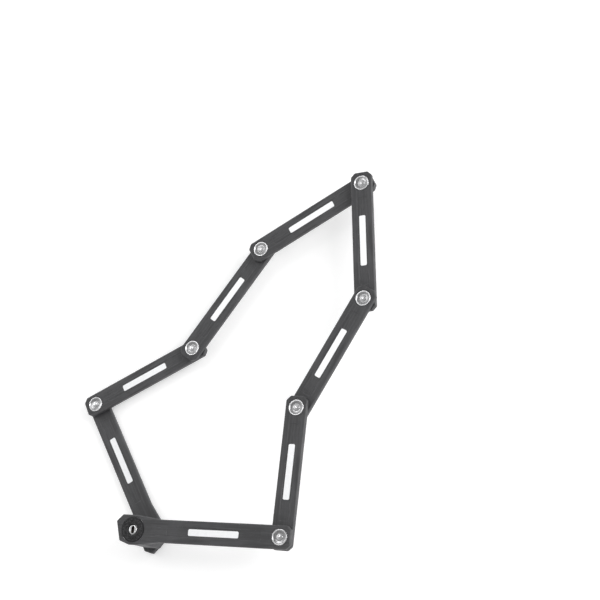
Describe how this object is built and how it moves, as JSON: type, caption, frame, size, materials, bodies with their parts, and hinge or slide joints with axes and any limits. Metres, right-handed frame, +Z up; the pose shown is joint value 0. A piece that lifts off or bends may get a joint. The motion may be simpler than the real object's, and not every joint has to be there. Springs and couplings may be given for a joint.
{
  "type": "folding bicycle lock",
  "caption": "Folding bicycle lock: flat plastic-coated steel bars riveted end to end, closed in a loop through a lock head with a round key cylinder.",
  "frame": {"origin": "on the closing pivot's axis, which is the key cylinder's axis, at the underside of the lowest bar", "axes": "+Z up, from the lowest bar to the keyway; +X along the first bar, from the key cylinder to its rivet; +Y across it, towards the inside of the loop"},
  "size_m": [0.3139, 0.3768, 0.0436],
  "materials": {
    "jacket": "satin",
    "core_steel": "dark phosphate, satin",
    "strip": "reflective film, satin",
    "rivet_steel": "polished, turned",
    "washer_nylon": "matte",
    "case_plastic": "fine grain",
    "body_cast": "as cast",
    "hardware_steel": "satin",
    "guard_steel": "black oxide, turned rings",
    "shell_brass": "machined",
    "barrel_steel": "machined",
    "disc_brass": "stamped",
    "bolt_steel": "ground"
  },
  "bodies": {
    "bar_1": {"jacket_1": "jacket", "core_1": "core_steel", "strip_1": "strip", "rivet_1": "rivet_steel", "washer_1": "washer_nylon", "case_cover": "case_plastic", "lock_body": "body_cast", "case_screws": "hardware_steel", "guard_disc": "guard_steel", "cylinder_shell": "shell_brass", "bolt_bush": "hardware_steel"},
    "bar_2": {"jacket_2": "jacket", "core_2": "core_steel", "strip_2": "strip", "rivet_2": "rivet_steel", "washer_2": "washer_nylon"},
    "bar_3": {"jacket_3": "jacket", "core_3": "core_steel", "strip_3": "strip", "rivet_3": "rivet_steel", "washer_3": "washer_nylon"},
    "bar_4": {"jacket_4": "jacket", "core_4": "core_steel", "strip_4": "strip", "rivet_4": "rivet_steel", "washer_4": "washer_nylon"},
    "bar_5": {"jacket_5": "jacket", "core_5": "core_steel", "strip_5": "strip", "rivet_5": "rivet_steel", "washer_5": "washer_nylon"},
    "bar_6": {"jacket_6": "jacket", "core_6": "core_steel", "strip_6": "strip", "rivet_6": "rivet_steel", "washer_6": "washer_nylon"},
    "bar_7": {"jacket_7": "jacket", "core_7": "core_steel", "strip_7": "strip", "rivet_7": "rivet_steel", "washer_7": "washer_nylon"},
    "bar_8": {"jacket_8": "jacket", "core_8": "core_steel", "strip_8": "strip"},
    "barrel_unit": {"key_barrel": "barrel_steel", "detainer_discs": "disc_brass", "disc_spacers": "hardware_steel", "sidebar": "hardware_steel", "cam_sleeve": "hardware_steel"},
    "bolt_unit": {"bolt": "bolt_steel", "cross_pin": "hardware_steel"}
  },
  "joints": [
    {"name": "rivet_1_turn", "type": "hinge", "parent": "bar_1", "child": "bar_2", "pos_m": [0.15, 0, 0.0385], "axis": [0, 0, 1], "range_deg": [-133.6, 80]},
    {"name": "rivet_2_turn", "type": "hinge", "parent": "bar_2", "child": "bar_3", "pos_m": [0.15293, 0.11996, 0.033], "axis": [0, 0, -1], "range_deg": [-35, 153.7]},
    {"name": "rivet_3_turn", "type": "hinge", "parent": "bar_3", "child": "bar_4", "pos_m": [0.20871, 0.22621, 0.0275], "axis": [0, 0, -1], "range_deg": [-20, 213.8]},
    {"name": "rivet_4_turn", "type": "hinge", "parent": "bar_4", "child": "bar_5", "pos_m": [0.19596, 0.34553, 0.022], "axis": [0, 0, 1], "range_deg": [-160, 65]},
    {"name": "rivet_5_turn", "type": "hinge", "parent": "bar_5", "child": "bar_6", "pos_m": [0.09321, 0.28355, 0.0165], "axis": [0, 0, 1], "range_deg": [-70, 155]},
    {"name": "rivet_6_turn", "type": "hinge", "parent": "bar_6", "child": "bar_7", "pos_m": [0.02628, 0.18395, 0.011], "axis": [0, 0, -1], "range_deg": [-72.9, 152.1]},
    {"name": "rivet_7_turn", "type": "hinge", "parent": "bar_7", "child": "bar_8", "pos_m": [-0.07947, 0.12722, 0.0055], "axis": [0, 0, 1], "range_deg": [-138.8, 86.2]},
    {"name": "key_turn", "type": "hinge", "parent": "bar_1", "child": "barrel_unit", "pos_m": [0, 0, 0.03], "axis": [0, 0, 1], "range_deg": [0, 90]},
    {"name": "bolt_slide", "type": "slide", "parent": "bar_1", "child": "bolt_unit", "axis": [0, 0, -1], "range_m": [0, 0.0046]}
  ],
  "couplings": [
    {"joint": "bolt_slide", "follows": "key_turn", "m_per_rad": 0.0029284}
  ]
}
